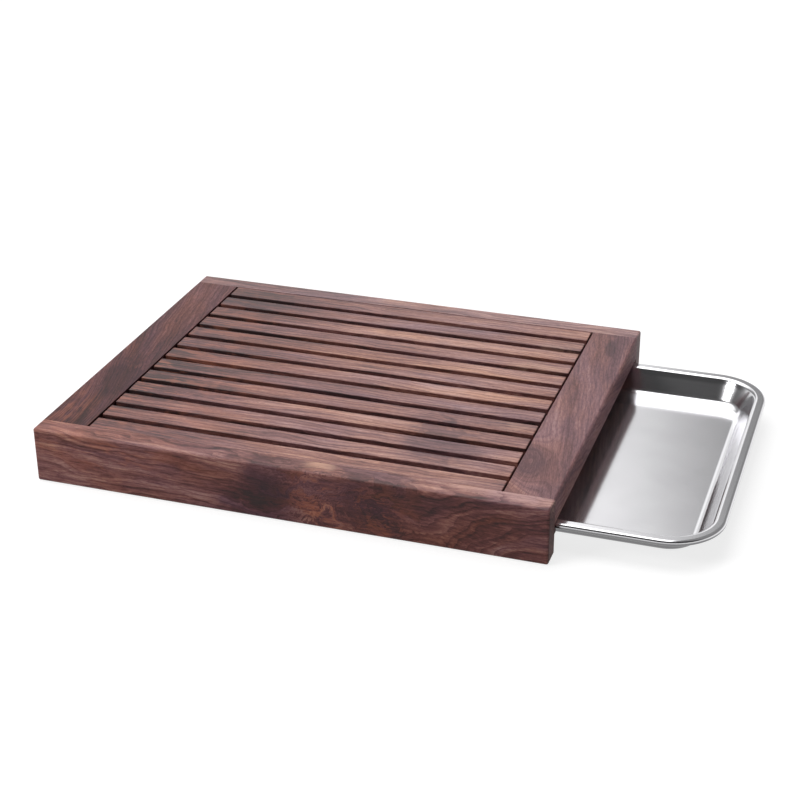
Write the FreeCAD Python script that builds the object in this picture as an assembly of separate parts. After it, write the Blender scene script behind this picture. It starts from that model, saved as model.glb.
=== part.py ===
import FreeCAD, Part
import math
import os

# Walnut cutting board with a lift-out slatted grille over a stainless crumb tray that slides
# out of the right-hand end. Millimetres, +Z up, X along the board towards the tray's end.
# Shapes are drawn from the board's left front bottom corner. The origin they are moved to is
# on the table, under the middle of the whole object with its tray pulled out.

# Board frame: two full-length rails, two end boards between them and a wall closing the left end
BOARD_LENGTH = 380.0
BOARD_WIDTH = 302.0
BOARD_HEIGHT = 42.0
RAIL_THICKNESS = 15.4
END_BOARD_WIDTH = 35.5
END_WALL_THICKNESS = 15.4
EDGE_RADIUS = 1.7

# Ledges glued to the end boards' inner faces carry the grille
LEDGE_HEIGHT = 7.5
LEDGE_WIDTH = 8.0
LEDGE_GAP = 0.3            # under the slats

# Dowels glued between the rails and what stands between them
DOWEL_DIAMETER = 8.0
DOWEL_LENGTH = 33.0
DOWEL_SPACING = 16.0
DOWEL_COVER = 4.4          # wood left between a dowel and the rail's outer face
DOWEL_END_GAP = 1.0        # glue space at both ends of a dowel's hole

# Lift-out grille: slats along X on battens along Y
SLAT_THICKNESS = 12.0
SLAT_WIDTH = 15.2
SLOT_WIDTH = 6.0
SLAT_END_GAP = 1.5
SLAT_EDGE_RADIUS = 0.6
GRILLE_FRONT_GAP = 0.3
GRILLE_BACK_GAP = 0.6
BACK_SLAT_EXTRA = 1.7      # the back slat is this much wider than the front one
FEWEST_SLATS = 3
BATTEN_COUNT = 3
BATTEN_WIDTH = 20.0
BATTEN_END_GAP = 2.0       # between an outer batten and its ledge
BATTEN_INSET = 3.0         # from the grille's front and back edges
BATTEN_LIFT = 0.5          # above the underside of the end boards

# Crumb tray, pressed from one stainless sheet with its edge curled over
SHEET = 0.8
TRAY_SIDE_GAP = 2.6
TRAY_END_GAP = 0.6         # to the left end wall, when pushed in
TRAY_SETBACK = 2.0         # behind the board's right end, when pushed in
TRAY_TOP_GAP = 0.5
TRAY_FLOOR_CLEARANCE = 4.0
TRAY_PULL = 110.0          # how far the tray stands pulled out
CURL_RADIUS = 2.2
CURL_END_ANGLE = 340.0     # where the curled edge stops, short of the sheet that it came from
FLANGE_INSET = 6.0         # from the tray's outer edge to where the flange bends down
WALL_ANGLE = 58.0
TOP_BEND_RADIUS = 3.5
BOTTOM_BEND_RADIUS = 7.0
FLOOR_CORNER_RADIUS = 17.5

# Runners on the rails' inner faces carry the tray's curled edge
RUNNER_HEIGHT = 6.3
RUNNER_GAP = 0.3           # under the curl
RUNNER_WALL_GAP = 1.2      # beside the tray's wall

TOUCH = 0.001              # two places this close are the same one
UP = FreeCAD.Vector(0, 0, 1)
ALONG_WIDTH = FreeCAD.Vector(0, 1, 0)
QUARTER_TURN = 90.0

# Levels, from the table up
bay_top = BOARD_HEIGHT - SLAT_THICKNESS - LEDGE_HEIGHT
slat_bottom = BOARD_HEIGHT - SLAT_THICKNESS
tray_top = bay_top - TRAY_TOP_GAP
floor_top = TRAY_FLOOR_CLEARANCE + SHEET
runner_top = tray_top - 2 * CURL_RADIUS - RUNNER_GAP

# Limits between the two rails and between the two end boards
between_rails = (RAIL_THICKNESS, BOARD_WIDTH - RAIL_THICKNESS)
right_board_x = BOARD_LENGTH - END_BOARD_WIDTH
slats_x = (END_BOARD_WIDTH + SLAT_END_GAP, right_board_x - SLAT_END_GAP)
battens_y = (
    between_rails[0] + GRILLE_FRONT_GAP + BATTEN_INSET,
    between_rails[1] - GRILLE_BACK_GAP - BATTEN_INSET,
)

# The tray's place and its section, measured inwards from its outer edge
tray_left = END_WALL_THICKNESS + TRAY_END_GAP + TRAY_PULL
tray_right = BOARD_LENGTH - TRAY_SETBACK + TRAY_PULL
tray_length = tray_right - tray_left
tray_width = between_rails[1] - between_rails[0] - 2 * TRAY_SIDE_GAP
wall_angle = math.radians(WALL_ANGLE)
bend_run = (TOP_BEND_RADIUS + BOTTOM_BEND_RADIUS) * math.sin(wall_angle)
bend_drop = (TOP_BEND_RADIUS + BOTTOM_BEND_RADIUS) * (1 - math.cos(wall_angle))
wall_run = (tray_top - floor_top - bend_drop) / math.tan(wall_angle)
floor_inset = FLANGE_INSET + bend_run + wall_run
tray_corner_radius = FLOOR_CORNER_RADIUS + floor_inset

whole_length = max(BOARD_LENGTH, tray_right)
origin = FreeCAD.Vector(whole_length / 2, BOARD_WIDTH / 2, 0)


def near(a, b):
    """True where two coordinates are the same."""
    return abs(a - b) < TOUCH


def block(x_span, y_span, z_span):
    """A block between the low and high limits along X, Y and Z."""
    spans = (x_span, y_span, z_span)
    corner = FreeCAD.Vector(*[low for low, high in spans])
    return Part.makeBox(*[high - low for low, high in spans], corner)


def rounded(shape, radius, wanted):
    """Round each edge whose middle point passes the wanted test."""
    return shape.makeFillet(radius, [edge for edge in shape.Edges if wanted(edge.CenterOfMass)])


def rail(outer_y, inner_y):
    """A full-length side of the frame, rounded everywhere but round its inner face."""
    y_span = (min(outer_y, inner_y), max(outer_y, inner_y))
    plain = block((0, BOARD_LENGTH), y_span, (0, BOARD_HEIGHT))
    return rounded(plain, EDGE_RADIUS, lambda middle: not near(middle.y, inner_y)).cut(dowel_holes())


def left_end_board():
    """The cross board at the closed end, rounded where its top meets the end."""
    plain = block((0, END_BOARD_WIDTH), between_rails, (bay_top, BOARD_HEIGHT))
    eased = rounded(plain, EDGE_RADIUS, lambda middle: near(middle.x, 0) and near(middle.z, BOARD_HEIGHT))
    return eased.cut(dowel_holes())


def right_end_board():
    """The cross board over the tray's mouth, rounded along both long outer edges."""
    levels = (bay_top, BOARD_HEIGHT)
    plain = block((right_board_x, BOARD_LENGTH), between_rails, levels)

    def long_outer_edge(middle):
        return near(middle.x, BOARD_LENGTH) and any(near(middle.z, level) for level in levels)

    return rounded(plain, EDGE_RADIUS, long_outer_edge).cut(dowel_holes())


def left_end_wall():
    """The wall under the left end board, which stops the tray."""
    plain = block((0, END_WALL_THICKNESS), between_rails, (0, bay_top))
    eased = rounded(plain, EDGE_RADIUS, lambda middle: near(middle.x, 0) and near(middle.z, 0))
    return eased.cut(dowel_holes())


def ledge(x_start):
    """A strip along an end board's inner face that the slats' ends lie on."""
    return block((x_start, x_start + LEDGE_WIDTH), between_rails, (bay_top, slat_bottom - LEDGE_GAP))


def dowel_places():
    """X and Z of every dowel on one rail."""
    end_board_z = (bay_top + BOARD_HEIGHT) / 2
    places = [(END_WALL_THICKNESS / 2, bay_top / 2)]
    for middle in (END_BOARD_WIDTH / 2, BOARD_LENGTH - END_BOARD_WIDTH / 2):
        for side in (-1, 1):
            places.append((middle + side * DOWEL_SPACING / 2, end_board_z))
    return places


def rods(end_gap):
    """Rods of the dowels' diameter in both rails, each longer than its dowel by end_gap at both ends."""
    length = DOWEL_LENGTH + 2 * end_gap
    front_y = DOWEL_COVER - end_gap
    back_y = BOARD_WIDTH - front_y - length
    return Part.makeCompound([
        Part.makeCylinder(DOWEL_DIAMETER / 2, length, FreeCAD.Vector(x, y, z), ALONG_WIDTH)
        for x, z in dowel_places()
        for y in (front_y, back_y)
    ])


def dowels():
    """Every dowel, as separate solids."""
    return rods(0)


def dowel_holes():
    """What the dowels' holes take out of the rails, end boards and end wall."""
    return rods(DOWEL_END_GAP)


def runner(rail_y, side):
    """A strip on a rail's inner face, its top under the tray's curl and its edge beside the tray's wall."""
    wall_top_inset = FLANGE_INSET + TOP_BEND_RADIUS * math.sin(wall_angle)
    wall_top_z = tray_top - TOP_BEND_RADIUS * (1 - math.cos(wall_angle))
    wall_inset = wall_top_inset + (wall_top_z - runner_top) / math.tan(wall_angle)
    outer_skin_inset = wall_inset - SHEET / math.sin(wall_angle)
    width = TRAY_SIDE_GAP + outer_skin_inset - RUNNER_WALL_GAP
    y_span = sorted((rail_y, rail_y + side * width))
    x_span = (END_WALL_THICKNESS, BOARD_LENGTH - EDGE_RADIUS)
    return block(x_span, y_span, (runner_top - RUNNER_HEIGHT, runner_top))


def slat_spans():
    """Low and high Y of each slat, front to back. The two outer slats share what the others leave."""
    low = between_rails[0] + GRILLE_FRONT_GAP
    room = between_rails[1] - GRILLE_BACK_GAP - low
    count = max(FEWEST_SLATS, round((room + SLOT_WIDTH) / (SLAT_WIDTH + SLOT_WIDTH)))
    outer_pair = room - (count - 2) * SLAT_WIDTH - (count - 1) * SLOT_WIDTH
    front_width = (outer_pair - BACK_SLAT_EXTRA) / 2
    widths = [front_width] + [SLAT_WIDTH] * (count - 2) + [front_width + BACK_SLAT_EXTRA]
    spans = []
    for width in widths:
        spans.append((low, low + width))
        low += width + SLOT_WIDTH
    return spans


def slat(y_span):
    """One slat, its top edges eased."""
    plain = block(slats_x, y_span, (slat_bottom, BOARD_HEIGHT))
    return rounded(plain, SLAT_EDGE_RADIUS, lambda middle: near(middle.z, BOARD_HEIGHT))


def battens():
    """The bars under the slats, evenly spaced between the two ledges."""
    first_x = END_BOARD_WIDTH + LEDGE_WIDTH + BATTEN_END_GAP
    last_x = BOARD_LENGTH - first_x - BATTEN_WIDTH
    step = (last_x - first_x) / (BATTEN_COUNT - 1)
    starts = [first_x + place * step for place in range(BATTEN_COUNT)]
    levels = (bay_top + BATTEN_LIFT, slat_bottom)
    return [block((start, start + BATTEN_WIDTH), battens_y, levels) for start in starts]


def section_point(inset, z):
    """A point of the tray's section, drawn as far from a corner's axis as it stands there."""
    return FreeCAD.Vector(tray_corner_radius - inset, 0, z)


def section_arc(inset, z, radius, start, end):
    """An arc of the tray's section round a centre, its angles in degrees up from inwards."""
    points = []
    for degrees in (start, (start + end) / 2, end):
        angle = math.radians(degrees)
        points.append(section_point(inset + radius * math.cos(angle), z + radius * math.sin(angle)))
    return Part.Arc(*points).toShape()


def tray_section():
    """The sheet's section from curled edge to floor, as one face."""
    curl = (CURL_RADIUS, tray_top - CURL_RADIUS)
    top_bend = (FLANGE_INSET, tray_top - TOP_BEND_RADIUS)
    bottom_bend = (floor_inset, floor_top + BOTTOM_BEND_RADIUS)
    flat = QUARTER_TURN
    steep = QUARTER_TURN - WALL_ANGLE
    half_turn = 2 * QUARTER_TURN
    upper = [
        section_arc(*curl, CURL_RADIUS, CURL_END_ANGLE, flat),
        section_arc(*top_bend, TOP_BEND_RADIUS, flat, steep),
        section_arc(*bottom_bend, BOTTOM_BEND_RADIUS, half_turn + steep, half_turn + flat),
    ]
    lower = [
        section_arc(*bottom_bend, BOTTOM_BEND_RADIUS + SHEET, half_turn + flat, half_turn + steep),
        section_arc(*top_bend, TOP_BEND_RADIUS - SHEET, steep, flat),
        section_arc(*curl, CURL_RADIUS - SHEET, flat, CURL_END_ANGLE),
    ]
    outline = []
    arcs = upper + lower
    for arc, following in zip(arcs, arcs[1:] + arcs[:1]):
        end = arc.lastVertex(True).Point
        outline.append(arc)
        outline.append(Part.makeLine(end, following.firstVertex(True).Point))
    return Part.Face(Part.Wire(outline))


def tray():
    """The pressed tray: the section turned at four corners and drawn along four sides, and a floor."""
    section = tray_section()
    half_x = tray_length / 2 - tray_corner_radius
    half_y = tray_width / 2 - tray_corner_radius
    corners = ((half_x, half_y), (-half_x, half_y), (-half_x, -half_y), (half_x, -half_y))
    pieces = [tray_floor()]
    for turn, (x, y) in enumerate(corners):
        angle = turn * QUARTER_TURN
        axis = FreeCAD.Vector(x, y, 0)
        face = section.copy()
        face.rotate(FreeCAD.Vector(), UP, angle)
        face.translate(axis)
        back = FreeCAD.Vector(math.sin(math.radians(angle)), -math.cos(math.radians(angle)), 0)
        side_length = 2 * (half_x if turn % 2 else half_y)
        pieces.append(face.revolve(axis, UP, QUARTER_TURN))
        pieces.append(face.extrude(back * side_length))
    pressed = pieces[0].multiFuse(pieces[1:]).removeSplitter()
    pressed.translate(FreeCAD.Vector((tray_left + tray_right) / 2, BOARD_WIDTH / 2, 0))
    return pressed


def tray_floor():
    """The flat of the tray, round its own middle."""
    half_x = tray_length / 2 - floor_inset
    half_y = tray_width / 2 - floor_inset
    plain = block((-half_x, half_x), (-half_y, half_y), (TRAY_FLOOR_CLEARANCE, floor_top))
    return rounded(plain, FLOOR_CORNER_RADIUS, lambda middle: near(middle.z, (TRAY_FLOOR_CLEARANCE + floor_top) / 2))


def all_parts():
    """Every sub-part by its name."""
    parts = {
        "front_rail": rail(0, between_rails[0]),
        "back_rail": rail(BOARD_WIDTH, between_rails[1]),
        "left_end_board": left_end_board(),
        "right_end_board": right_end_board(),
        "left_end_wall": left_end_wall(),
        "left_ledge": ledge(END_BOARD_WIDTH),
        "right_ledge": ledge(right_board_x - LEDGE_WIDTH),
        "front_runner": runner(between_rails[0], 1),
        "back_runner": runner(between_rails[1], -1),
        "dowels": dowels(),
        "tray": tray(),
    }
    for number, y_span in enumerate(slat_spans(), start=1):
        parts["slat_%02d" % number] = slat(y_span)
    for number, bar in enumerate(battens(), start=1):
        parts["batten_%d" % number] = bar
    return parts


os.makedirs("parts", exist_ok=True)
for name, shape in all_parts().items():
    shape.translate(-origin)
    shape.exportStep("parts/%s.step" % name)
    print(name, shape.isValid(), len(shape.Solids), "volume %.1f" % shape.Volume, shape.BoundBox)
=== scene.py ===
# %% [markdown]
# # A slatted cutting board over a crumb tray
#
# A walnut frame holds a lift-out grille of slats. Crumbs fall between the slats into a shallow
# stainless tray, which slides out of the right-hand end. The construction comes ready made from
# CAD. These cells give it what CAD leaves out: the figure of the wood, eased slats, and sheet
# metal that catches the light.

# %% Load the frame
import math
from collections import namedtuple
from typing import NamedTuple

import bmesh
import bpy
from mathutils import Matrix, Vector


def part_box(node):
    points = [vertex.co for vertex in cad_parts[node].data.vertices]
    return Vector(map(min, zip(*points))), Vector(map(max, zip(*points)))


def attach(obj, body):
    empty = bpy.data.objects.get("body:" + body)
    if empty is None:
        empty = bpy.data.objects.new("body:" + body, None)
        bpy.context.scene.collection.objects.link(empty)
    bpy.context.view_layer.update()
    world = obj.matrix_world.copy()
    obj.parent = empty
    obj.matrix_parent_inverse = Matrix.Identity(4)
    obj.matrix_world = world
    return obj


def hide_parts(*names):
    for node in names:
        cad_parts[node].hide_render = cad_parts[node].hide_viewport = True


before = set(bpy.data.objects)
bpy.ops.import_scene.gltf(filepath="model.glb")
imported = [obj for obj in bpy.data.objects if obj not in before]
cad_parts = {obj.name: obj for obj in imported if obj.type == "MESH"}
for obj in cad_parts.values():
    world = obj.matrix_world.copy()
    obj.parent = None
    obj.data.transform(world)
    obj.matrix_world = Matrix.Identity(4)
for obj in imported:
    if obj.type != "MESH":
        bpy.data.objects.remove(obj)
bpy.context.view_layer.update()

MM = 0.001
board_low, board_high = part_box("front_rail")
board_high = Vector((board_high.x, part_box("back_rail")[1].y, board_high.z))
print("board, mm:", [round(side / MM, 1) for side in board_high - board_low])

# %% [markdown]
# ## The camera
# The view is a cook's, a step away from the table: from the front and a little to the right, and
# looking down by a bit over a quarter of a right angle. A long lens keeps the board's sides nearly
# parallel. The camera could be aimed by a constraint, but three turns in order (tilt, pan and a
# trace of roll) are plainer to read and to adjust.

# %% Camera
CAMERA_PLACE = Vector((0.35197, -1.10324, 0.6065))
CAMERA_PAN = math.radians(18.511)
CAMERA_DOWN = math.radians(26.446)
CAMERA_ROLL = math.radians(-0.276)
LENS = 77.42
NEAREST = 0.05
FARTHEST = 50.0
LEVEL = math.radians(90)

camera = bpy.data.objects.new("camera", bpy.data.cameras.new("camera"))
bpy.context.collection.objects.link(camera)
bpy.context.scene.camera = camera
camera.data.lens = LENS
camera.data.clip_start = NEAREST
camera.data.clip_end = FARTHEST
tilt = Matrix.Rotation(LEVEL - CAMERA_DOWN, 4, "X")
aim = Matrix.Rotation(CAMERA_PAN, 4, "Z") @ tilt @ Matrix.Rotation(CAMERA_ROLL, 4, "Z")
camera.matrix_world = Matrix.Translation(CAMERA_PLACE) @ aim
print("camera, m from the board's middle:", round(CAMERA_PLACE.length, 3), "lens, mm:", LENS)

# %% [markdown]
# ## Writing node trees as sentences
# A material is a network of nodes, which is slow to read in a script. One small class wraps an
# output socket, so that plus, minus, times and divided by add the Math nodes.

# %% Numbers in a node tree
class Number:
    """An output socket that Python's operators work on."""

    def __init__(self, graph, output):
        self.graph = graph
        self.output = output

    def __add__(self, other):
        return self.graph.math("ADD", self, other)

    def __radd__(self, other):
        return self.graph.math("ADD", other, self)

    def __sub__(self, other):
        return self.graph.math("SUBTRACT", self, other)

    def __rsub__(self, other):
        return self.graph.math("SUBTRACT", other, self)

    def __mul__(self, other):
        return self.graph.math("MULTIPLY", self, other)

    def __rmul__(self, other):
        return self.graph.math("MULTIPLY", other, self)

    def __truediv__(self, other):
        return self.graph.math("DIVIDE", self, other)

    def __rtruediv__(self, other):
        return self.graph.math("DIVIDE", other, self)

# %% [markdown]
# A second class adds every other node through one method: its type, its settings, and what goes
# into its sockets. The few nodes that are used again and again get a short name of their own.

# %% The node tree
class Graph:
    """A node tree, built by calls."""

    def __init__(self, tree):
        self.tree = tree

    def node(self, kind, settings=None, inputs=None, output=0):
        """Adds a node, and returns one of its outputs. inputs: values or links for its sockets."""
        made = self.tree.nodes.new(kind)
        for name, value in (settings or {}).items():
            if name == "stops":
                self.set_stops(made.color_ramp, value)
            else:
                setattr(made, name, value)
        for socket, value in (inputs or {}).items():
            self.join(value, made, socket)
        return Number(self, made.outputs[output])

    def join(self, value, node, socket):
        """Links a socket into a node, or sets a plain value there."""
        if isinstance(value, Number):
            self.tree.links.new(value.output, node.inputs[socket])
        else:
            node.inputs[socket].default_value = value

    @staticmethod
    def set_stops(ramp, stops):
        while len(ramp.elements) < len(stops):
            ramp.elements.new(1.0)
        for element, (place, colour) in zip(ramp.elements, stops):
            element.position = place
            element.color = (*colour, 1.0)

    def math(self, operation, *values):
        return self.node("ShaderNodeMath", {"operation": operation}, dict(enumerate(values)))

    def clamp(self, value):
        """The value, kept between 0 and 1."""
        return self.node("ShaderNodeClamp", None, {"Value": value, "Min": 0.0, "Max": 1.0})

    def smooth(self, value, low, high):
        """0 below low, 1 above high, and an easy curve between them."""
        settings = {"interpolation_type": "SMOOTHSTEP"}
        inputs = {"Value": value, "From Min": low, "From Max": high}
        return self.node("ShaderNodeMapRange", settings, inputs)

    def point(self, x, y, z):
        return self.node("ShaderNodeCombineXYZ", None, {0: x, 1: y, 2: z})

    def parts(self, vector):
        """The x, y and z of a vector."""
        split = self.node("ShaderNodeSeparateXYZ", None, {0: vector}).output.node
        return [Number(self, output) for output in split.outputs]

    def coordinate(self, kind):
        """Object: where a point is on its piece. Normal: the way that its face looks."""
        return self.node("ShaderNodeTexCoord", output=kind)

    def ramp(self, value, stops):
        """The colour at this value, between stops of a place and a colour."""
        return self.node("ShaderNodeValToRGB", {"stops": stops}, {0: value})

    def mix(self, share, first, second, blend="MIX"):
        """Mixes two colours, by the Mix node's colour sockets. share is a number or a socket."""
        settings = {"data_type": "RGBA", "blend_type": blend}
        return self.node("ShaderNodeMix", settings, {0: share, 6: first, 7: second}, output=2)

    def noise(self, vector, detail, roughness=0.5, distortion=0.0):
        """Noise from 0 to 1 whose blobs are about one unit of the vector across."""
        inputs = {"Vector": vector, "Scale": 1.0, "Detail": detail, "Roughness": roughness,
                  "Distortion": distortion}
        return self.node("ShaderNodeTexNoise", None, inputs)

    def even_noise(self, blob, detail):
        """Noise from 0 to 1 straight through the piece. blob: its blobs' x, y and z, in mm."""
        point = self.node("ShaderNodeMapping", None, {
            "Vector": self.coordinate("Object"),
            "Scale": [1 / (side * MM) for side in blob],
        })
        return self.noise(point, detail)

# %% New materials and their colours
SCREEN_WHITE = 255
SCREEN_GAMMA = 2.2
WHITE = (1.0, 1.0, 1.0, 1.0)


def new_material(name):
    """A material with an empty Principled shader, and the graph that its nodes go into."""
    material = bpy.data.materials.new(name)
    material.use_nodes = True
    graph = Graph(material.node_tree)
    shader = material.node_tree.nodes["Principled BSDF"]
    return material, graph, shader


def colour(red, green, blue):
    """A colour given as it looks on a screen, 0 to 255, turned into linear light for the shader."""
    return tuple((channel / SCREEN_WHITE) ** SCREEN_GAMMA for channel in (red, green, blue))


print("a screen's middle grey in linear light:", round(colour(128, 128, 128)[0], 3))

# %% [markdown]
# ## Walnut
# A board's figure is a slice through a tree. So the wood here is a solid pattern, not a picture
# wrapped round the board: a field of growth rings round a far-off heart, bent by slow waves, by
# knots and by burls. Bands, ring lines, fibres and pores all follow that field, so top, side and
# end grain agree at every edge. A picture could be sharper, but it would repeat, and its end grain
# would be wrong. Walnut's colour drifts between a warm brown and a purple grey, so there are two
# scales of brown, from the darkest wood to the lightest.

# %% Walnut colours
COOL_BROWN = [
    (0.0, colour(50, 28, 32)),
    (0.35, colour(97, 60, 67)),
    (0.65, colour(138, 96, 100)),
    (1.0, colour(186, 144, 142)),
]
WARM_BROWN = [
    (0.0, colour(52, 24, 20)),
    (0.35, colour(112, 64, 54)),
    (0.65, colour(158, 102, 86)),
    (1.0, colour(210, 156, 130)),
]
SMOKE = (*colour(178, 166, 186), 1.0)
FLAME = (*colour(190, 114, 88), 1.0)
SAPWOOD = (*colour(212, 166, 142), 1.0)
PORE = (*colour(42, 24, 22), 1.0)
END_GRAIN = (*colour(50, 26, 24), 1.0)
print("browns: 2 scales of", len(WARM_BROWN), "stops")

# %% [markdown]
# ### What a board keeps of its tree
# A joiner who picks boards looks at a few things: where the heart was, how fast the tree grew, and
# what grew into it. Those few things are the settings of the material, so one recipe makes every
# board here and no two look alike. What grew in at one place only, such as a knot or a stain, is a
# Spot: a soft egg with a place, a reach each way and a strength.

# %% One board's tree
Spot = namedtuple("Spot", "along across up long wide high strength")


class Log(NamedTuple):
    """Where a board grew, and what grew into it. Lengths are in mm."""
    turn: float = 0.0            # the grain's angle from +X, in degrees
    heart: tuple = (0.0, -60.0)  # the tree's heart, across the grain and up
    seed: float = 0.0            # picks the noise
    tone: float = 0.0            # lighter, or darker below 0
    # sides is painted shade: lighter, or darker below 0, on the faces that don't look up.
    sides: float = 0.0           # the same, on the faces that don't look up
    warmth: float = 0.0          # browner, or greyer below 0
    figure: float = 1.0          # how strong the bands are
    lines: float = 1.0           # how strong the ring lines are
    growth: float = 3.6          # from one ring line to the next
    wave: float = 8.0            # how far the grain wanders
    shine: float = 0.4           # how much oil is left on it
    knots: tuple = ()            # Spots that push the grain, by so many mm
    burls: tuple = ()            # Spots that push it in swirls, by so many mm
    tones: tuple = ()            # Spots that are lighter, or darker below 0
    smokes: tuple = ()           # Spots of purple grey, by their share
    flames: tuple = ()           # Spots of red licks along the rings, by their share
    pales: tuple = ()            # Spots of sapwood, by their share
    slats: tuple = ()            # the first gap's middle and the pitch, where it is cut into slats

# %% [markdown]
# ### Marks, from a hand's width down to a pore
# Every mark in wood is longer along the grain than across it, so each one is a noise stretched by
# two lengths. One noise with all the scales in it would be shorter to write, but wood isn't such
# an even mixture. The marks also differ in what they do: depth is how much a mark lightens and
# darkens the wood, and fray is how much it tears the edge of a stain.

# %% Marks
Mark = namedtuple("Mark", "long wide detail roughness depth fray", defaults=(0.0, 0.0))
WAVES = Mark(110, 40, 3.0, 0.5)
SWIRLS = Mark(24, 18, 4.0, 0.6, fray=3.0)
CLOUDS = Mark(70, 24, 3.0, 0.55, depth=0.8, fray=2.4)
BANDS = Mark(260, 7, 4.0, 0.6, depth=1.35, fray=2.4)
YEARS = Mark(60, 9, 2.0, 0.5, depth=0.22)
DRIFT = Mark(90, 16, 3.0, 0.6)
LICKS = Mark(50, 5, 3.0, 0.6)
STREAKS = Mark(30, 1.5, 3.0, 0.6, depth=0.9, fray=1.2)
FIBRES = Mark(13, 0.45, 2.0, 0.6, depth=0.4)
FLECKS = Mark(4.5, 1.1, 3.0, 0.7, depth=0.7)
print("marks, mm long: from", FLECKS.long, "to", BANDS.long)

# %% [markdown]
# ### The grain
# Rings are circles round the heart, so the ring at a point is its distance from the heart. What
# makes them wood is that they wander, and that all the finer marks wander with them. So one value,
# the bend, pushes rings and fibres alike. Slats are sawn from different places, so each of them
# draws a lot, which moves it to rings of its own.

# %% The grain
RING_BEND = 2.0
FIBRE_BEND = 1.3
SLAT_BEND = 60
SWIRL_TWIST = 1.4


class Grain:
    """Where a point lies in its tree, and noise that follows the tree. Lengths are in mm."""

    def __init__(self, graph, log):
        self.graph = graph
        self.seed = log.seed
        turned = graph.node("ShaderNodeMapping", None, {
            "Vector": graph.coordinate("Object"),
            "Rotation": (0, 0, -math.radians(log.turn)),
            "Scale": (1 / MM, 1 / MM, 1 / MM),
        })
        self.along, self.across, self.up = graph.parts(turned)
        self.lot = self.slat_lot(*log.slats) if log.slats else None
        self.swirls = self.in_block(SWIRLS, SWIRL_TWIST)
        bend = self.bend(log)
        self.fibre = self.across + FIBRE_BEND * bend
        side = self.across - log.heart[0]
        height = self.up - log.heart[1]
        self.rings = graph.math("SQRT", side * side + height * height) + RING_BEND * bend

    def slat_lot(self, first_gap, pitch):
        """A number from 0 to 1, drawn for each slat."""
        number = self.graph.math("FLOOR", (self.across - first_gap) / pitch)
        settings = {"noise_dimensions": "1D"}
        return self.graph.node("ShaderNodeTexWhiteNoise", settings, {"W": number + self.seed})

    def bend(self, log):
        """How far the grain is pushed aside."""
        bend = log.wave * self.in_block(WAVES)
        for knot in log.knots:
            bend = bend + knot.strength * self.near(knot)
        for burl in log.burls:
            bend = bend + burl.strength * self.swirls * self.near(burl)
        if log.slats:
            bend = bend + SLAT_BEND * self.lot
        return bend

    def near(self, spot):
        """A soft egg round a spot, 1 in its middle."""
        long = (self.along - spot.along) / spot.long
        wide = (self.across - spot.across) / spot.wide
        high = (self.up - spot.up) / spot.high
        return self.graph.math("EXPONENT", -1 * (long * long + wide * wide + high * high))

    def in_block(self, mark, twist=0.0):
        """Noise from -0.5 to 0.5 that fills the block, whatever the rings do."""
        point = self.graph.point(self.along / mark.long + self.seed, self.across / mark.wide,
                                 self.up / mark.wide)
        return self.graph.noise(point, mark.detail, mark.roughness, twist) - 0.5

    def in_rings(self, mark, seed=0):
        """Noise from 0 to 1 that runs along the rings."""
        point = self.graph.point(self.rings / mark.wide, self.along / mark.long, self.seed + seed)
        return self.graph.noise(point, mark.detail, mark.roughness)

    def in_fibres(self, mark, shift_across=0.0, shift_up=0.0):
        """Noise from -0.5 to 0.5 in threads along the fibres."""
        point = self.graph.point(self.fibre / mark.wide + shift_across, self.along / mark.long,
                                 self.up / mark.wide + shift_up)
        return self.graph.noise(point, mark.detail, mark.roughness) - 0.5

# %% [markdown]
# ### Brown
# The marks add up to one shade, from the darkest wood to the lightest, and a slow drift chooses
# the warm brown or the grey one for it. A ring line is the end of a year: the wood darkens slowly
# towards it and starts pale again after it, which is the fractional part of the ring's number.

# %% Brown
MIDDLE_SHADE = 0.55
MIDDLE_WARMTH = 0.5
DRIFT_DEPTH = 2.6
SLAT_TONE = 0.14
SLAT_WARMTH = 0.35
YEAR_SWAY = 2.2
YEAR_SEED = 3
YEAR_END = (0.4, 1.0)


def ring_lines(grain, growth):
    """0 early in each year, 1 where the year ends."""
    years = grain.rings / growth + YEAR_SWAY * grain.in_rings(YEARS, YEAR_SEED)
    return grain.graph.smooth(grain.graph.math("FRACT", years), *YEAR_END)


def brown(grain, log, marks, ring_line, side_on):
    """The wood's colour before anything stains it, with painted shade on the faces that don't look
    up.
    """
    graph = grain.graph
    # sides is painted shade on the faces that don't look up.
    tone = log.tone + log.sides * side_on
    warmth = log.warmth
    if log.slats:
        tone = tone + SLAT_TONE * (grain.lot - 0.5)
        warmth = warmth + SLAT_WARMTH * (grain.lot - 0.5)
    # On the slats, these tone spots are partly painted light and shade along the row.
    for spot in log.tones:
        tone = tone + spot.strength * grain.near(spot)
    coarse = BANDS.depth * marks[BANDS] + STREAKS.depth * marks[STREAKS]
    coarse = coarse + CLOUDS.depth * marks[CLOUDS]
    pattern = log.figure * coarse - YEARS.depth * log.lines * ring_line
    fine = FIBRES.depth * marks[FIBRES] + FLECKS.depth * marks[FLECKS]
    shade = graph.clamp(MIDDLE_SHADE + tone + pattern + fine)
    drift = graph.point(grain.along / DRIFT.long, grain.rings / DRIFT.wide + log.seed, 0)
    drift = graph.noise(drift, DRIFT.detail, DRIFT.roughness) - 0.5
    warm = graph.clamp(MIDDLE_WARMTH + warmth + DRIFT_DEPTH * drift)
    return graph.mix(warm, graph.ramp(shade, COOL_BROWN), graph.ramp(shade, WARM_BROWN))

# %% [markdown]
# ### Stains
# Smoke multiplies the wood under it, because it is a dye in the wood. Sapwood hides what is under
# it, and red flames lick along the rings. A stain with a smooth edge looks like paint, so the
# wood's own marks fray it.

# %% Stains
SMOKE_EDGE = (0.15, 0.7)
SAPWOOD_EDGE = (0.3, 1.3)
LICK_EDGE = (0.46, 0.66)
LICK_SEED = 9
LICK_SWIRL = 0.6
LICK_STREAK = 0.5


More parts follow.
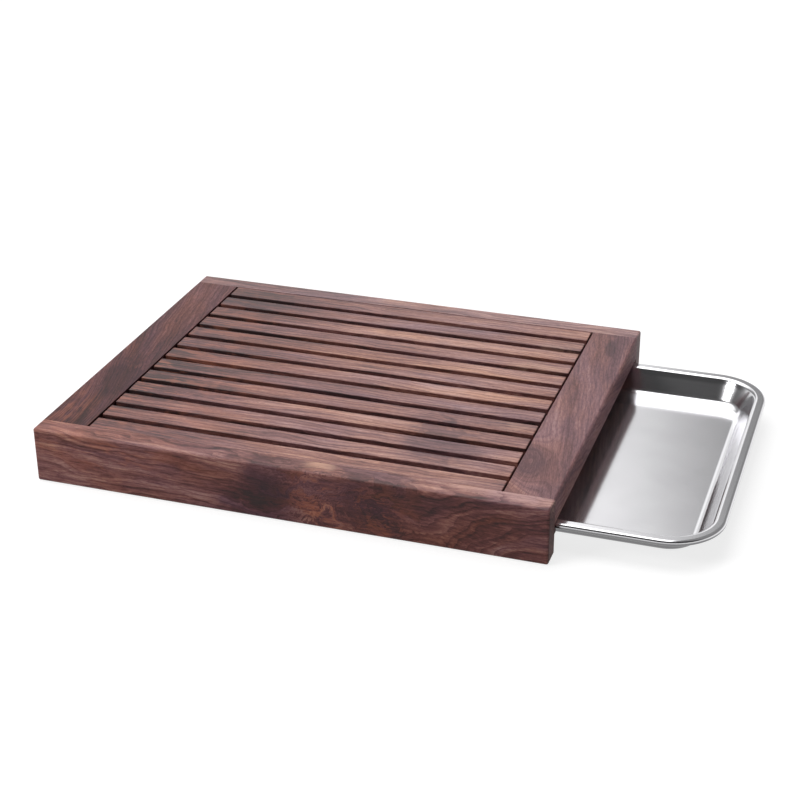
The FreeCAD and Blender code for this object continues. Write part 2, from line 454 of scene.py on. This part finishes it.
def stained(grain, log, marks, wood):
    """The wood with its smoke, sapwood and flames."""
    graph = grain.graph
    ragged = (1 + CLOUDS.fray * marks[CLOUDS] + BANDS.fray * marks[BANDS]
              + STREAKS.fray * marks[STREAKS] + SWIRLS.fray * marks[SWIRLS])
    for spot in log.smokes:
        share = spot.strength * graph.smooth(grain.near(spot) * ragged, *SMOKE_EDGE)
        wood = graph.mix(share, wood, SMOKE, "MULTIPLY")
    for spot in log.pales:
        share = spot.strength * graph.smooth(grain.near(spot) * ragged, *SAPWOOD_EDGE)
        wood = graph.mix(share, wood, SAPWOOD)
    if log.flames:
        licks = grain.in_rings(LICKS, LICK_SEED) + LICK_SWIRL * marks[SWIRLS]
        licks = graph.smooth(licks + LICK_STREAK * marks[STREAKS], *LICK_EDGE)
        for spot in log.flames:
            wood = graph.mix(spot.strength * licks * grain.near(spot), wood, FLAME)
    return wood

# %% [markdown]
# ### Pores, end grain and oil
# Walnut is full of pores, a few millimetres long, which stay open under the oil. They are dark,
# rough and a little sunk, so one value feeds all three. Cut across, the same pores are open tubes
# that drink the oil, and that makes end grain much darker. The sides are left rougher than the
# sanded top. Pores could be cut into the mesh, but a bump this shallow looks the same.

# %% Walnut
PORE_EDGE = (0.14, 0.22)
PORES_AT_LINE = 0.05
PORE_SHARE = 0.6
END_EDGE = (0.6, 0.9)
END_SHARE = 0.6
OILED_ROUGHNESS = 0.42
SIDE_ROUGHNESS = 0.25
FIBRE_ROUGHNESS = 0.16
PORE_ROUGHNESS = 0.15
FIBRE_HEIGHT = 0.5
PORE_DEPTH = 0.1 * MM
RELIEF = 0.35


def walnut(name, log):
    """The material of one board."""
    material, graph, shader = new_material(name)
    grain = Grain(graph, log)
    # Each mark's noise, to be looked up by the mark.
    marks = {
        SWIRLS: grain.swirls,
        CLOUDS: grain.in_block(CLOUDS),
        BANDS: grain.in_rings(BANDS) - 0.5,
        STREAKS: grain.in_fibres(STREAKS, shift_up=log.seed),
        FIBRES: grain.in_fibres(FIBRES),
        FLECKS: grain.in_fibres(FLECKS, shift_across=log.seed),
    }
    ring_line = ring_lines(grain, log.growth)
    pores = graph.smooth(marks[FLECKS] + PORES_AT_LINE * ring_line, *PORE_EDGE)
    normal = graph.coordinate("Normal")
    side_on = 1 - graph.math("ABSOLUTE", graph.parts(normal)[2])
    turn = math.radians(log.turn)
    facing = graph.node("ShaderNodeVectorMath", {"operation": "DOT_PRODUCT"},
                        {0: normal, 1: (math.cos(turn), math.sin(turn), 0)}, output="Value")
    end_on = graph.smooth(graph.math("ABSOLUTE", facing), *END_EDGE)

    wood = stained(grain, log, marks, brown(grain, log, marks, ring_line, side_on))
    wood = graph.mix(PORE_SHARE * pores, wood, PORE)
    graph.join(graph.mix(END_SHARE * end_on, wood, END_GRAIN), shader, "Base Color")
    rough = OILED_ROUGHNESS + SIDE_ROUGHNESS * side_on
    rough = rough + FIBRE_ROUGHNESS * marks[FIBRES] + PORE_ROUGHNESS * pores
    graph.join(rough, shader, "Roughness")
    shader.inputs["Specular IOR Level"].default_value = log.shine
    height = FIBRE_HEIGHT * marks[FIBRES] - pores
    relief = {"Strength": RELIEF, "Distance": PORE_DEPTH, "Height": height}
    graph.join(graph.node("ShaderNodeBump", None, relief), shader, "Normal")
    return material

# %% [markdown]
# ## The frame's five boards
# These pieces are right as CAD made them, so they keep their meshes and get wood. Each is cut from
# its own part of the tree, so each has its own heart, knots and colours. The end boards' grain runs
# across the rails' grain and ten degrees off square, because a tree isn't straight. A Spot gives
# its place along the grain, across it and up, its reach the same three ways, and its strength.

# %% A helper for CAD pieces
EVERY_HEIGHT = 200  # for a Spot that goes right through a board


def dress(node, material):
    """Gives a CAD piece one material."""
    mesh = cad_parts[node].data
    mesh.materials.clear()
    mesh.materials.append(material)

# %% The rails
front_rail_log = Log(
    heart=(-190, -30), seed=1.0, tone=0.02, figure=1.1, wave=16.0,
    knots=(Spot(44, -153, -14, 50, 12, 40, 20),),
    burls=(Spot(-16, -153, 20, 44, 9, 30, 34),),
    tones=(Spot(-70, -153, 10, 30, 8, 24, -0.24),
           Spot(14, -153, 16, 18, 8, 22, -0.24),
           Spot(110, -153, 20, 90, 8, 34, -0.22),
           Spot(120, -136, 44, 90, 14, 9, 0.72)),
    smokes=(Spot(-70, -153, 10, 28, 10, 22, 1.0),
            Spot(-58, -145, 38, 22, 14, 24, 1.0),
            Spot(10, -144, 36, 32, 16, 34, 1.0)),
    flames=(Spot(-24, -153, 20, 20, 9, 26, 0.75),
            Spot(22, -153, 10, 18, 8, 24, 0.55),
            Spot(-190, -150, 34, 60, 12, 22, 0.4)),
    pales=(Spot(-27, -141, 42, 14, 9, 7, 0.55),))
back_rail_log = Log(heart=(190, -20), seed=2.0, tone=0.18, warmth=-0.2, shine=0.9)
dress("front_rail", walnut("front_rail_walnut", front_rail_log))
dress("back_rail", walnut("back_rail_walnut", back_rail_log))
front_rail_wood = bpy.data.materials["front_rail_walnut"]
print("the front rail's walnut:", len(front_rail_wood.node_tree.nodes), "nodes")

# %% The end boards
left_end_log = Log(
    turn=100, heart=(110, -50), seed=3.0, tone=-0.23, warmth=-0.05, figure=0.55, lines=0.6,
    growth=2.6, shine=0.25,
    knots=(Spot(-46, 268, 40, 60, 26, EVERY_HEIGHT, 20),),
    tones=(Spot(148, 203, 40, 90, 60, EVERY_HEIGHT, 0.07),
           Spot(-110, 250, 40, 50, 60, EVERY_HEIGHT, -0.2)),
    smokes=(Spot(-14, 228, 40, 40, 15, EVERY_HEIGHT, 1.0),),
    flames=(Spot(-75, 253, 40, 44, 18, EVERY_HEIGHT, 0.35),))
right_end_log = Log(
    turn=100, heart=(-40, -40), seed=4.0, tone=-0.06, warmth=-0.3, figure=0.6, lines=0.5,
    growth=2.3,
    knots=(Spot(-104, -84, 40, 40, 18, EVERY_HEIGHT, 10),),
    tones=(Spot(-30, -114, 40, 70, 60, EVERY_HEIGHT, 0.14),
           Spot(90, -133, 40, 50, 60, EVERY_HEIGHT, -0.06)),
    smokes=(Spot(86, -137, 42, 14, 4, EVERY_HEIGHT, 1.0),))
end_wall_log = Log(turn=90, heart=(225, 80), seed=5.0, tone=-0.05)
dress("left_end_board", walnut("left_end_board_walnut", left_end_log))
dress("right_end_board", walnut("right_end_board_walnut", right_end_log))
dress("left_end_wall", walnut("left_end_wall_walnut", end_wall_log))

# %% The wood inside
inside = walnut("inside_walnut", Log(turn=90, heart=(0, -200), seed=6.0, tone=-0.1))
for node in ("left_ledge", "right_ledge", "batten_1", "batten_2", "batten_3"):
    dress(node, inside)
inside_long = walnut("runner_walnut", Log(heart=(0, -200), seed=7.0, tone=-0.1))
for node in ("front_runner", "back_runner"):
    dress(node, inside_long)
print("walnuts so far:", [made.name for made in bpy.data.materials if made.name.endswith("_walnut")])

# %% [markdown]
# ## Beech for the dowels
# A dowel is turned from a hard, plain wood. Beech is pale and even, with short flecks along the
# grain, so one stretched noise is all its pattern. The walnut recipe could make it, but most of
# its marks would be turned off.

# %% Beech
BEECH_FLECK = (0.6, 9, 0.6)
BEECH = [(0.3, colour(176, 132, 92)), (0.7, colour(214, 176, 134))]
BEECH_ROUGHNESS = 0.5
FLECK_ROUGHNESS = 0.2


def beech():
    """Pale, close-grained beech with short flecks, along Y."""
    material, graph, shader = new_material("beech")
    fleck = graph.even_noise(BEECH_FLECK, detail=2.0)
    graph.join(graph.ramp(fleck, BEECH), shader, "Base Color")
    graph.join(BEECH_ROUGHNESS + FLECK_ROUGHNESS * (fleck - 0.5), shader, "Roughness")
    return material


dress("dowels", beech())
print("dowels in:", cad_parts["dowels"].data.materials[0].name)

# %% [markdown]
# ## The slats
# Thirteen bars of one length, evenly spaced, are a rule and not thirteen jobs. A Geometry Nodes
# tree lays them out: it puts one block on each point of a line and stretches it to its width. The
# two outer slats have widths of their own, so the tree asks for three. A Bevel modifier then eases
# every edge by the same small radius, which stretching a ready-eased block would spoil.

# %% Slat sizes, read from the frame
slat_boxes = [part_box(node) for node in sorted(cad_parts) if node.startswith("slat_")]
slat_widths = [high.y - low.y for low, high in slat_boxes]
slat_middles = [(low.y + high.y) / 2 for low, high in slat_boxes]
slat_pitch = slat_middles[2] - slat_middles[1]
slat_low, slat_high = slat_boxes[0]
first_gap = (slat_boxes[0][1].y + slat_boxes[1][0].y) / 2
slat_sizes = {
    "Length": slat_high.x - slat_low.x,
    "Thickness": slat_high.z - slat_low.z,
    "Front width": slat_widths[0],
    "Width": slat_widths[1],
    "Back width": slat_widths[-1],
    "Front middle": slat_middles[0],
    "Second middle": slat_middles[1],
    "Back middle": slat_middles[-1],
    "Pitch": slat_pitch,
    "Middle along": (slat_low.x + slat_high.x) / 2,
    "Middle up": (slat_low.z + slat_high.z) / 2,
}
print("slats:", len(slat_boxes), "pitch, mm:", round(slat_pitch / MM, 2))

# %% A geometry tree with named inputs
def named_tree(name, sizes):
    """A geometry tree that asks for a count and these sizes, and its sockets by their names."""
    tree = bpy.data.node_groups.new(name, "GeometryNodeTree")
    new_socket = tree.interface.new_socket
    new_socket("Geometry", in_out="OUTPUT", socket_type="NodeSocketGeometry")
    sockets = {"Count": new_socket("Count", in_out="INPUT", socket_type="NodeSocketInt")}
    for size in sizes:
        sockets[size] = new_socket(size, in_out="INPUT", socket_type="NodeSocketFloat")
    return tree, sockets


def plain_mesh(piece):
    """Replaces a piece's modifiers by the mesh that they make."""
    shown = piece.evaluated_get(bpy.context.evaluated_depsgraph_get())
    mesh = bpy.data.meshes.new_from_object(shown)
    piece.modifiers.clear()
    piece.data = mesh
    return piece

# %% Slats by Geometry Nodes
SLAT_EASE = 0.6 * MM
SLAT_EASE_STEPS = 3
SAME = 0.5  # whole numbers less than this apart are the same


def lay_slats(tree, sockets, material):
    """Fills the tree: a line of points, a block on each, stretched to its slat's size."""
    graph = Graph(tree)
    given = tree.nodes.new("NodeGroupInput")
    asked = {name: Number(graph, given.outputs[name]) for name in sockets}
    index = graph.node("GeometryNodeInputIndex")
    is_first = graph.math("COMPARE", index, 0.0, SAME)
    is_last = graph.math("COMPARE", index, asked["Count"] - 1, SAME)
    is_inner = 1 - is_first - is_last

    def by_place(front, inner, back):
        """The front value for the first slat, the back value for the last, else the inner one."""
        return is_first * front + is_last * back + is_inner * inner

    inner_middle = asked["Second middle"] + asked["Pitch"] * (index - 1)
    middle = by_place(asked["Front middle"], inner_middle, asked["Back middle"])
    width = by_place(asked["Front width"], asked["Width"], asked["Back width"])
    points = graph.node("GeometryNodePoints", None, {
        "Count": asked["Count"],
        "Position": graph.point(asked["Middle along"], middle, asked["Middle up"]),
    })
    blocks = graph.node("GeometryNodeInstanceOnPoints", None, {
        "Points": points,
        "Instance": graph.node("GeometryNodeMeshCube"),
        "Scale": graph.point(asked["Length"], width, asked["Thickness"]),
    })
    real = graph.node("GeometryNodeRealizeInstances", None, {0: blocks})
    done = graph.node("GeometryNodeSetMaterial", None, {"Geometry": real, "Material": material})
    graph.join(done, tree.nodes.new("NodeGroupOutput"), 0)


def slat_row(material):
    """The grille's slats as one object, with its modifiers still live."""
    tree, sockets = named_tree("slat_row", slat_sizes)
    lay_slats(tree, sockets, material)
    row = bpy.data.objects.new("slats", bpy.data.meshes.new("slats"))
    bpy.context.collection.objects.link(row)
    layout = row.modifiers.new("layout", "NODES")
    layout.node_group = tree
    layout[sockets["Count"].identifier] = len(slat_boxes)
    for name, size in slat_sizes.items():
        layout[sockets[name].identifier] = size
    ease = row.modifiers.new("ease", "BEVEL")
    ease.width = SLAT_EASE
    ease.segments = SLAT_EASE_STEPS
    return row

# %% [markdown]
# The slats share one material, but not one piece of wood. The material knows where the gaps are,
# so each slat gets rings, a tone and a warmth of its own. Their sides are painted darker than
# their tops: painted shade, for the shade that falls in the gaps. Along the row, the slats are
# painted darker at the left end and lighter in the middle: partly the wood's own tone, and partly
# painted shade and light for the way the room's light falls along the board.

# %% Slats
slat_log = Log(
    # sides paints shade on the slats' sides, for the shade that falls in the gaps.
    heart=(-420, -160), seed=8.0, tone=0.03, warmth=0.05, sides=-0.3, figure=0.8, shine=0.6,
    slats=(first_gap / MM, slat_pitch / MM),
    # The tones paint the row darker at the left end and lighter in the middle: partly the wood's own
    # tone, and partly painted shade and light for how the room's light falls.
    tones=(Spot(-225, 0, 42, 90, 400, EVERY_HEIGHT, -0.28),
           Spot(30, 0, 42, 120, 400, EVERY_HEIGHT, 0.16)),
    smokes=(Spot(42, -72, 42, 30, 40, EVERY_HEIGHT, 1.0),),
    pales=(Spot(84, 100, 42, 26, 8, EVERY_HEIGHT, 0.3),
           Spot(76, 58, 42, 30, 9, EVERY_HEIGHT, 0.35),
           Spot(82, -40, 42, 24, 12, EVERY_HEIGHT, 0.35)),
    flames=(Spot(-200, -40, 42, 80, 160, EVERY_HEIGHT, 0.5),))
slats = plain_mesh(slat_row(walnut("slat_walnut", slat_log)))
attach(slats, "grille")
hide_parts(*[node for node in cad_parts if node.startswith("slat_")])
print("slats:", len(slats.data.polygons), "faces")

# %% [markdown]
# ## The crumb tray
# The tray is one sheet: flat floor, sloping walls, a flat flange, and an edge curled over so that
# nobody gets cut. Every one of those is the same section carried round a rounded rectangle, so it
# is drawn once, as arcs joined by straight stretches, and swept. Polished steel shows every flaw in
# its shading, so the arcs are fine, and a narrow strip on each side of a bend keeps the flats flat.

# %% Tray sizes
SHEET = 0.8 * MM
CURL = 2.2 * MM
CURL_STOP = 340  # degrees
FLANGE = 6.0 * MM
WALL = 58  # degrees from flat
TOP_BEND = 3.5 * MM
BOTTOM_BEND = 7.0 * MM
FLOOR_CORNER = 17.5 * MM

tray_low, tray_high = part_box("tray")
floor_top = tray_low.z + SHEET
slope = math.radians(WALL)
bends = TOP_BEND + BOTTOM_BEND
floor_inset = (FLANGE + bends * math.sin(slope)
               + (tray_high.z - floor_top - bends * (1 - math.cos(slope))) / math.tan(slope))
corner = FLOOR_CORNER + floor_inset
print("the tray's floor starts, mm from its edge:", round(floor_inset / MM, 2))

# %% Tray section
BEND_STEP = 5
FEWEST_STEPS = 2
STRIP = 0.4 * MM
LONG_STRETCH = 4 * STRIP


def arc(inset, height, radius, start, end):
    """Points of an arc in the section. Angles are in degrees, 0 is inwards and 90 is up."""
    steps = max(FEWEST_STEPS, math.ceil(abs(end - start) / BEND_STEP))
    angles = [math.radians(start + (end - start) * step / steps) for step in range(steps + 1)]
    return [(inset + radius * math.cos(a), height + radius * math.sin(a)) for a in angles]


def with_strips(outline):
    """Adds a point close to both ends of each long straight stretch of a closed outline."""
    out = []
    for here, there in zip(outline, outline[1:] + outline[:1]):
        out.append(here)
        run = math.dist(here, there)
        if run > LONG_STRETCH:
            for share in (STRIP / run, 1 - STRIP / run):
                out.append(tuple(a + (b - a) * share for a, b in zip(here, there)))
    return out


def tray_section():
    """The sheet's outline, from the floor's edge out to the curl and back under."""
    curl_height = tray_high.z - CURL
    low_bend = (floor_inset, floor_top + BOTTOM_BEND)
    high_bend = (FLANGE, tray_high.z - TOP_BEND)
    top = (arc(*low_bend, BOTTOM_BEND, 270, 270 - WALL) + arc(*high_bend, TOP_BEND, 90 - WALL, 90)
           + arc(CURL, curl_height, CURL, 90, CURL_STOP))
    under = (arc(CURL, curl_height, CURL - SHEET, CURL_STOP, 90)
             + arc(*high_bend, TOP_BEND - SHEET, 90, 90 - WALL)
             + arc(*low_bend, BOTTOM_BEND + SHEET, 270 - WALL, 270))
    return with_strips(top + under)

# %% [markdown]
# The sweep could be a curve with the section as its bevel, but a bevel pinches at the corners. So
# each point of the section makes a ring of its own round the tray, with a corner that grows tighter
# as the ring moves in. The rings are joined into one closed skin, the floor's two sides included.

# %% Tray sweep
CORNER_STEPS = 24
FLOOR_RINGS = (0.4, 8.0, 20.0, 36.0, 56.0, 80.0)  # mm in from the floor's edge
QUARTERS = ((1, 1), (-1, 1), (-1, -1), (1, -1))  # the four corners, anticlockwise from above
MERGE = 0.001 * MM


def ring(inset, height):
    """One turn round the tray, this far in from its edge."""
    half_x = (tray_high.x - tray_low.x) / 2
    half_y = (tray_high.y - tray_low.y) / 2
    centre = (tray_low + tray_high) / 2
    pull = max(corner, inset)
    points = []
    for quarter, (sign_x, sign_y) in enumerate(QUARTERS):
        for step in range(CORNER_STEPS + 1):
            angle = math.radians(90 * (quarter + step / CORNER_STEPS))
            x = centre.x + sign_x * (half_x - pull) + (pull - inset) * math.cos(angle)
            y = centre.y + sign_y * (half_y - pull) + (pull - inset) * math.sin(angle)
            points.append((x, y, height))
    return points


def tray_mesh():
    """The swept tray as one closed mesh."""
    half_width = (tray_high.y - tray_low.y) / 2
    insets = [floor_inset + inset * MM for inset in FLOOR_RINGS] + [half_width]
    floor_above = [(inset, floor_top) for inset in reversed(insets)]
    floor_below = [(inset, tray_low.z) for inset in insets]
    outline = floor_above + tray_section()[:-1] + floor_below  # the floor takes over its last point
    mesh = bmesh.new()
    loops = [[mesh.verts.new(point) for point in ring(*place)] for place in outline]
    for first, second in zip(loops, loops[1:]):
        for here in range(len(first)):
            there = (here + 1) % len(first)
            mesh.faces.new((first[here], first[there], second[there], second[here]))
    bmesh.ops.remove_doubles(mesh, verts=mesh.verts, dist=MERGE)
    bmesh.ops.recalc_face_normals(mesh, faces=mesh.faces)
    for face in mesh.faces:
        face.smooth = True
    data = bpy.data.meshes.new("crumb_tray")
    mesh.to_mesh(data)
    mesh.free()
    return data

# %% [markdown]
# ## Stainless steel
# Steel has no colour of its own to speak of. What it shows is the room, so its finish is nearly
# all roughness. The press tool polishes the rim, and drags a little on the walls. The floor keeps
# fine lines from the rolling mill and a thin haze, which scatters light as paint does, so the floor
# is a little less than metal. The faces that turn down are painted dark grey: painted shade and a
# painted dark reflection, for the rim's shade and the shaded floor under the tray. Finger smudges
# could be drawn one by one, but a slow noise is enough.

# %% Stainless steel
RIM_ROUGHNESS = 0.14
WALL_ROUGHNESS = 0.21
FLOOR_ROUGHNESS = 0.12
WALL_FADE = (0.5 * MM, 3 * MM)  # above the floor
RIM_FADE = (5 * MM, 3 * MM)  # below the top
MILL_LINE = (90, 0.5, 20)
MILL_LINE_ROUGHNESS = 0.04
SMUDGE = (40, 40, 40)
SMUDGED_STEEL = [(0.3, (0.70, 0.695, 0.715)), (0.7, (0.75, 0.745, 0.765))]
FLOOR_METAL = 0.87
# Painted shade: the dark grey of the faces that turn down, under the rim and round the outside.
PAINTED_UNDERSIDE_SHADE = (0.2, 0.2, 0.205, 1.0)
TURNS_UP = (0.0, 0.4)


def stainless():
    """Polished steel, each part of the tray with its own roughness, and painted shade on the faces
    that turn down.
    """
    material, graph, shader = new_material("stainless_steel")
    height = graph.parts(graph.coordinate("Object"))[2]
    wall = graph.smooth(height, *[floor_top + above for above in WALL_FADE])
    rim = graph.smooth(height, *[tray_high.z - below for below in RIM_FADE])
    lines = graph.even_noise(MILL_LINE, detail=3.0)
    rough = FLOOR_ROUGHNESS + MILL_LINE_ROUGHNESS * (lines - 0.5)
    rough = rough + (WALL_ROUGHNESS - FLOOR_ROUGHNESS) * wall
    rough = rough + (RIM_ROUGHNESS - WALL_ROUGHNESS) * rim
    graph.join(rough, shader, "Roughness")
    graph.join(FLOOR_METAL + (1 - FLOOR_METAL) * wall, shader, "Metallic")
    polished = graph.ramp(graph.even_noise(SMUDGE, detail=2.0), SMUDGED_STEEL)
    # 1 where the faces turn up and show polished steel, 0 where they turn down and get the painted
    # shade.
    clear_of_painted_shade = graph.smooth(graph.parts(graph.coordinate("Normal"))[2], *TURNS_UP)
    graph.join(graph.mix(clear_of_painted_shade, PAINTED_UNDERSIDE_SHADE, polished), shader, "Base Color")
    return material


tray = bpy.data.objects.new("crumb_tray", tray_mesh())
bpy.context.collection.objects.link(tray)
tray.data.materials.append(stainless())
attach(tray, "crumb_tray")
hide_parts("tray")
print("tray:", len(tray.data.polygons), "faces")

# %% [markdown]
# ## The floor
# The board stands on a plain pale floor. A floor bright enough to look white would throw so much
# light back that the board's shadow and its dark edges were lost. So its colour is a grey that the
# lamps light as they light the board, and a glow, which only eyes, metal and glass can see, takes
# it to white. The glow stops under the board, where a real floor would be dark between the slats.

# %% Floor
FLOOR_SIZE = 12.0
FLOOR_DROP = 0.3 * MM
FLOOR_GREY = 0.36
FLOOR_GLOW = 0.78
UNDER_EDGE = (20 * MM, 10 * MM)  # in from the board's edge


def eyes_and_gloss(graph):
    """1 for rays from the eye and for reflections, 0 for the light that falls on the object."""
    kinds = ("Is Camera Ray", "Is Glossy Ray", "Is Transmission Ray")
    first, second, third = [graph.node("ShaderNodeLightPath", output=kind) for kind in kinds]
    return graph.clamp(first + second + third)


def under_the_board(graph):
    """1 on the floor inside the board's walls, where the room's light doesn't reach, 0 outside."""
    within = []
    for axis, place in enumerate(graph.parts(graph.coordinate("Object"))[:2]):
        middle = (board_low[axis] + board_high[axis]) / 2
        half = (board_high[axis] - board_low[axis]) / 2
        off_middle = graph.math("ABSOLUTE", place - middle)
        within.append(1 - graph.smooth(off_middle, *[half - inset for inset in UNDER_EDGE]))
    return within[0] * within[1]


def pale_floor():
    """Grey to the object, and white to the eye outside the board."""
    material, graph, shader = new_material("pale_floor")
    shader.inputs["Base Color"].default_value = (FLOOR_GREY, FLOOR_GREY, FLOOR_GREY, 1.0)
    shader.inputs["Roughness"].default_value = 1.0
    shader.inputs["Specular IOR Level"].default_value = 0.0
    shader.inputs["Emission Color"].default_value = WHITE
    glow = FLOOR_GLOW * eyes_and_gloss(graph) * (1 - under_the_board(graph))
    graph.join(glow, shader, "Emission Strength")
    return material


floor = bpy.data.objects.new("floor", bpy.data.meshes.new("floor"))
bpy.context.collection.objects.link(floor)
reach = FLOOR_SIZE / 2
floor_corners = [(reach * x, reach * y, -FLOOR_DROP) for x, y in QUARTERS]
floor.data.from_pydata(floor_corners, [], [(0, 1, 2, 3)])
floor.data.materials.append(pale_floor())
print("floor, m:", FLOOR_SIZE)

# %% [markdown]
# ## The light
# One broad, soft panel hangs over the board and behind it, so tops are well lit, and the front and
# the right-hand end fall away. It is drawn in the world's background, where a soft edge costs
# nothing. A ring of lamps would be simpler, but steel shows the whole room, and needs dark parts in
# it to look like steel. Near the horizon the world is white to the eye, as the floor is, so that no
# line shows where the floor ends. Numbers below are directions: 1 is straight to that side.

# %% Room and panel
ROOM_FRONT = 0.06
ROOM_BACK = 0.22
ROOM_TURN = (-0.3, 0.1)
PANEL_LOW = 1.0
PANEL_HIGH = 2.8
PANEL_OVERHEAD = (0.5, 0.9)
FRONT_EDGE = (-0.35, -0.1)
LEFT_EDGE = (0.3, 0.62)
RIGHT_EDGE = (0.045, 0.16)
RIGHT_EDGE_LEAN = 0.27
BACKDROP_EDGE = (0.24, 0.34)

world = bpy.data.worlds.new("studio")
bpy.context.scene.world = world
world.use_nodes = True
sky = Graph(world.node_tree)
to_right, to_back, to_top = sky.parts(sky.coordinate("Generated"))
room = ROOM_FRONT + ROOM_BACK * sky.smooth(to_back, *ROOM_TURN)
front_edge = sky.smooth(to_back, *FRONT_EDGE)
left_edge = sky.smooth(to_right + to_back, *LEFT_EDGE)
right_edge = 1 - sky.smooth(to_right + RIGHT_EDGE_LEAN * to_back, *RIGHT_EDGE)
brightness = PANEL_LOW * left_edge + PANEL_HIGH * sky.smooth(to_top, *PANEL_OVERHEAD)
panel = front_edge * right_edge * brightness
backdrop = eyes_and_gloss(sky) * (1 - sky.smooth(to_top, *BACKDROP_EDGE))
world_shader = world.node_tree.nodes["Background"]
world_shader.inputs["Color"].default_value = WHITE
sky.join((room + panel) * (1 - backdrop) + backdrop, world_shader, "Strength")
print("sky:", len(world.node_tree.nodes), "nodes")

# %% [markdown]
# The panel alone leaves the front of the board nearly black. One softbox at the front left brings
# back the grain there. It is small and well to one side, because steel would show a broad one as a
# grey veil.

# %% Softbox
SOFTBOX_PLACE = Vector((-1.0, -1.0, 0.95))
SOFTBOX_SIDE = 0.6
SOFTBOX_WATTS = 9.5

lamp = bpy.data.lights.new("front_left_softbox", "AREA")
lamp.shape = "SQUARE"
lamp.size = SOFTBOX_SIDE
lamp.energy = SOFTBOX_WATTS
softbox = bpy.data.objects.new("front_left_softbox", lamp)
bpy.context.collection.objects.link(softbox)
softbox.location = SOFTBOX_PLACE
softbox.rotation_euler = (-SOFTBOX_PLACE).to_track_quat("-Z", "Y").to_euler()
print("softbox, m from the board:", round(SOFTBOX_PLACE.length, 2), "watts:", SOFTBOX_WATTS)

# %% [markdown]
# ## Finish
# The Standard view transform shows a colour about as it is written, where Blender's usual one
# would soften it. Blender only dresses what CAD made, and never resizes it.

# %% Finish
bpy.context.scene.view_settings.view_transform = "Standard"
